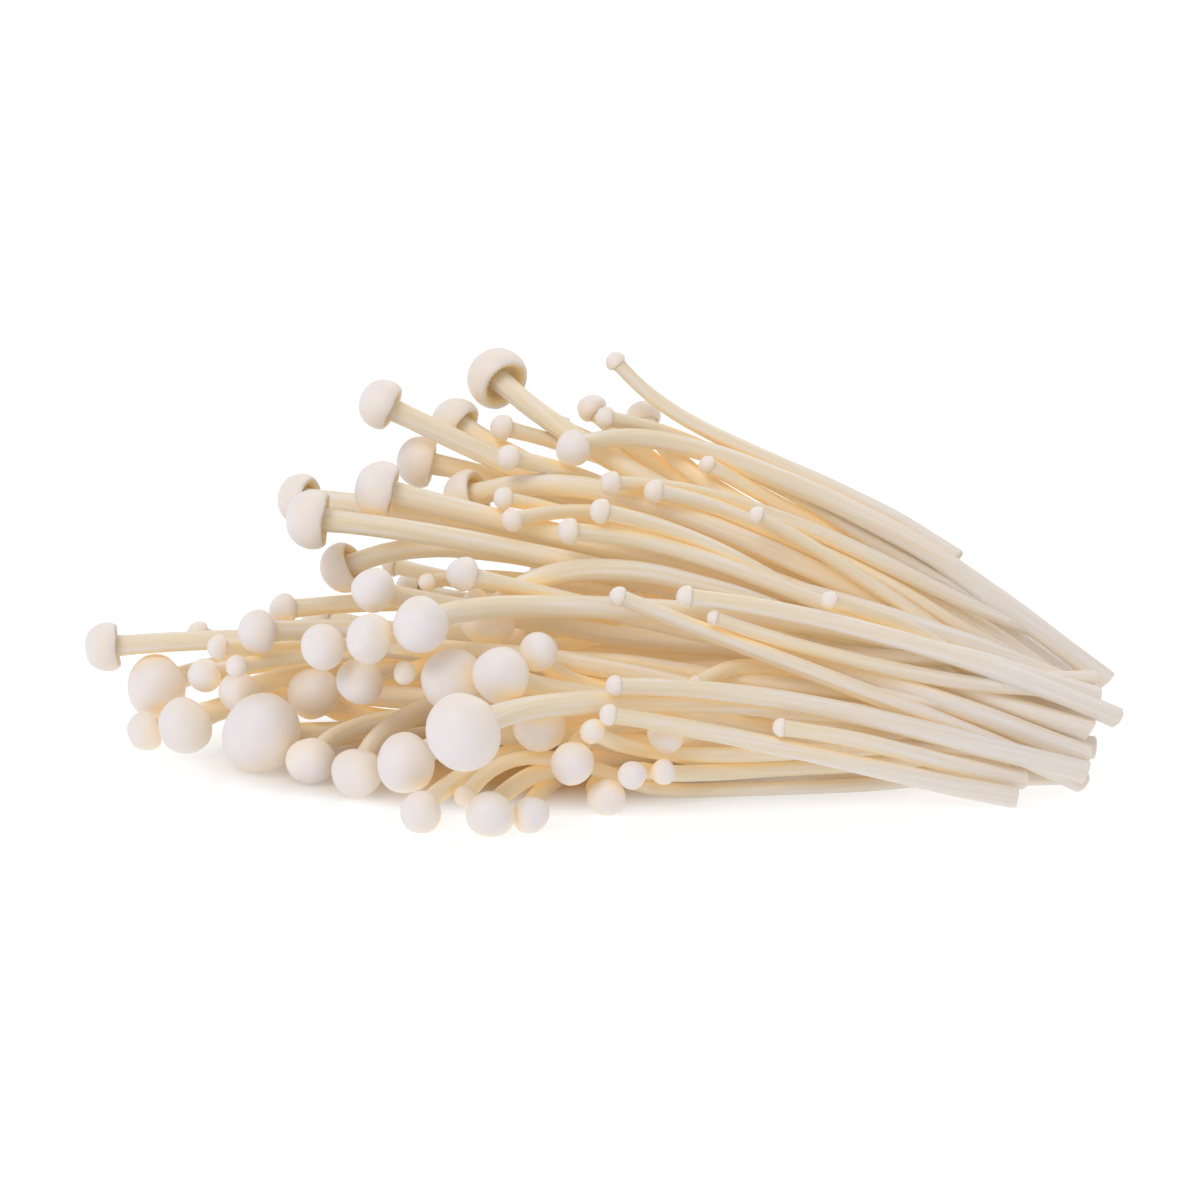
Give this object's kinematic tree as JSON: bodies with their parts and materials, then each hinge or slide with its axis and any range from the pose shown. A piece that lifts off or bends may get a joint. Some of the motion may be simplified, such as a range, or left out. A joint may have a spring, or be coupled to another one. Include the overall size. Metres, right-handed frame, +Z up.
{
  "type": "enoki mushroom bunch",
  "caption": "Loose bunch of enoki mushrooms lying on its side: slender stems from a cut root end fan out and curve to small round button caps.",
  "frame": {"origin": "centre of the bounding box, on the surface that the bunch lies on", "axes": "+X along the bunch from the caps towards the cut feet, +Z up, +Y away from the side with most caps"},
  "size_m": [0.1654, 0.0906, 0.0622],
  "materials": {
    "flesh": "smooth, softly glossy, pale ivory and slightly translucent"
  },
  "bodies": {
    "root": {"tuft_high_01": "flesh", "tuft_high_02": "flesh", "tuft_high_03": "flesh", "tuft_high_04": "flesh", "tuft_high_05": "flesh", "mushroom_high_06": "flesh", "tuft_high_07": "flesh", "tuft_high_08": "flesh", "mushroom_high_09": "flesh", "tuft_high_10": "flesh", "tuft_high_11": "flesh", "tuft_high_12": "flesh", "tuft_high_13": "flesh", "tuft_high_14": "flesh", "mushroom_low_01": "flesh", "tuft_low_02": "flesh", "tuft_low_03": "flesh", "tuft_low_04": "flesh", "mushroom_low_05": "flesh", "tuft_low_06": "flesh", "tuft_low_07": "flesh", "tuft_low_08": "flesh", "tuft_low_09": "flesh", "tuft_low_10": "flesh", "tuft_low_11": "flesh", "tuft_low_12": "flesh", "tuft_low_13": "flesh", "mushroom_low_14": "flesh", "mushroom_low_15": "flesh", "mushroom_low_16": "flesh", "tuft_low_17": "flesh", "mushroom_low_18": "flesh", "mushroom_low_19": "flesh", "mushroom_side_01": "flesh", "mushroom_side_02": "flesh", "mushroom_side_03": "flesh", "mushroom_side_04": "flesh", "mushroom_side_05": "flesh", "mushroom_side_06": "flesh", "mushroom_side_07": "flesh", "mushroom_side_08": "flesh", "mushroom_side_09": "flesh", "mushroom_side_10": "flesh", "mushroom_side_11": "flesh", "mushroom_far_01": "flesh", "tuft_far_02": "flesh", "mushroom_far_03": "flesh", "mushroom_far_04": "flesh", "tuft_far_05": "flesh", "tuft_far_06": "flesh", "tuft_far_07": "flesh", "mushroom_far_08": "flesh", "mushroom_slim_01": "flesh", "tuft_slim_02": "flesh", "tuft_slim_03": "flesh", "mushroom_slim_04": "flesh", "mushroom_slim_05": "flesh", "mushroom_slim_06": "flesh"}
  },
  "joints": []
}
